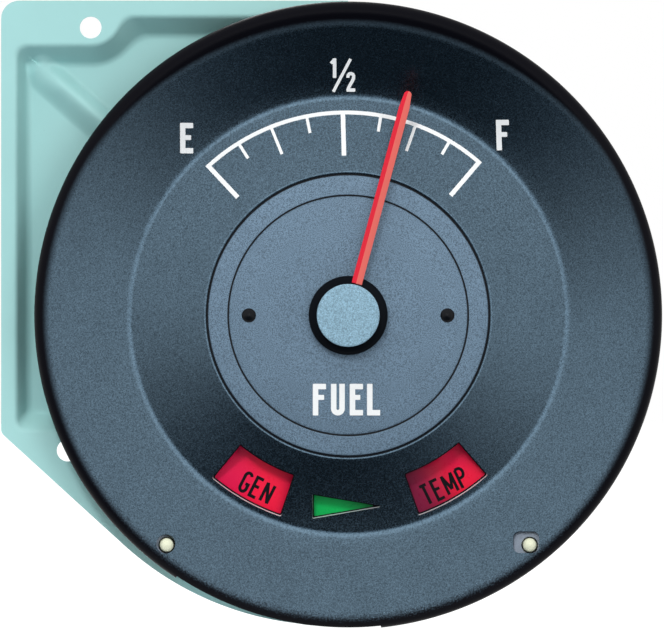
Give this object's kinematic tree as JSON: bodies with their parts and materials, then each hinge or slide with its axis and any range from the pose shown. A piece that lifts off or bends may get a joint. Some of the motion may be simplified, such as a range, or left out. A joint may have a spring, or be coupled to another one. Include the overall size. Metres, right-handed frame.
{
  "type": "car fuel gauge",
  "caption": "Round dashboard fuel gauge: dished dial with a red pointer and warning windows, on a pressed housing with screw holes and rear terminals.",
  "frame": {"origin": "on the pointer's axis, in the front plane of the housing's flange, where the dial's skirt ends", "axes": "-Y out of the dial towards the viewer, +Z towards twelve o'clock, +X to the viewer's right"},
  "size_m": [0.1349, 0.0494, 0.1279],
  "materials": {
    "mint_paint": "satin enamel over pressed steel",
    "ring_paint": "satin grey primer",
    "dial_paint": "fine-grained satin charcoal paint",
    "centre_paint": "fine-grained satin grey paint",
    "post_nylon": "moulded nylon",
    "screw_black": "black oxide",
    "pointer_red": "gloss red enamel over aluminium",
    "hub_black": "moulded black",
    "cap_paint": "satin blue-grey paint",
    "shaft_steel": "ground",
    "soft_iron": "plain",
    "zinc_steel": "zinc plated",
    "brass": "turned",
    "stud_brass": "rolled thread",
    "bobbin_resin": "moulded resin",
    "copper_wire": "enamelled copper wire",
    "phenolic_board": "pressed phenolic",
    "fibre": "vulcanised fibre",
    "chute_white": "moulded white",
    "lens_red": "transparent tint",
    "lens_green": "transparent tint",
    "holder_black": "moulded black",
    "bulb_glass": "clear"
  },
  "bodies": {
    "case": {"housing": "mint_paint", "backing_ring": "ring_paint", "locating_posts": "post_nylon", "dial_face": "dial_paint", "centre_dial": "centre_paint", "centre_dial_screws": "screw_black", "movement_frame": "zinc_steel", "frame_pillars": "zinc_steel", "front_bridge": "zinc_steel", "pointer_stops": "shaft_steel", "front_bearing": "brass", "rear_bearing": "brass", "empty_coil_bobbin": "bobbin_resin", "empty_coil_winding": "copper_wire", "empty_coil_core": "soft_iron", "full_coil_bobbin": "bobbin_resin", "full_coil_winding": "copper_wire", "full_coil_core": "soft_iron", "terminal_board": "phenolic_board", "terminal_studs": "stud_brass", "stud_bushes": "fibre", "terminal_washers": "fibre", "terminal_nuts": "stud_brass", "lamp_chute": "chute_white", "chute_screws": "zinc_steel", "left_lens": "lens_red", "arrow_lens": "lens_green", "right_lens": "lens_red"},
    "pointer_assembly": {"pointer": "pointer_red", "pointer_hub": "hub_black", "hub_cap": "cap_paint", "pointer_shaft": "shaft_steel", "armature": "soft_iron", "balance_arm": "zinc_steel", "balance_weight": "brass"},
    "left_lamp": {"left_lamp_holder": "holder_black", "left_lamp_bulb": "bulb_glass"},
    "arrow_lamp": {"arrow_lamp_holder": "holder_black", "arrow_lamp_bulb": "bulb_glass"},
    "right_lamp": {"right_lamp_holder": "holder_black", "right_lamp_bulb": "bulb_glass"}
  },
  "joints": [
    {"name": "pointer_swing", "type": "hinge", "parent": "case", "child": "pointer_assembly", "pos_m": [0, 0, 0], "axis": [0, 1, 0], "range_deg": [-62.1, 29.5]},
    {"name": "left_lamp_twist", "type": "hinge", "parent": "case", "child": "left_lamp", "pos_m": [-0.01893, 0.0272, -0.03381], "axis": [0, 1, 0], "range_deg": [0, 60]},
    {"name": "arrow_lamp_twist", "type": "hinge", "parent": "case", "child": "arrow_lamp", "pos_m": [0, 0.0272, -0.03875], "axis": [0, 1, 0], "range_deg": [0, 60]},
    {"name": "right_lamp_twist", "type": "hinge", "parent": "case", "child": "right_lamp", "pos_m": [0.01955, 0.0272, -0.03346], "axis": [0, 1, 0], "range_deg": [0, 60]}
  ]
}
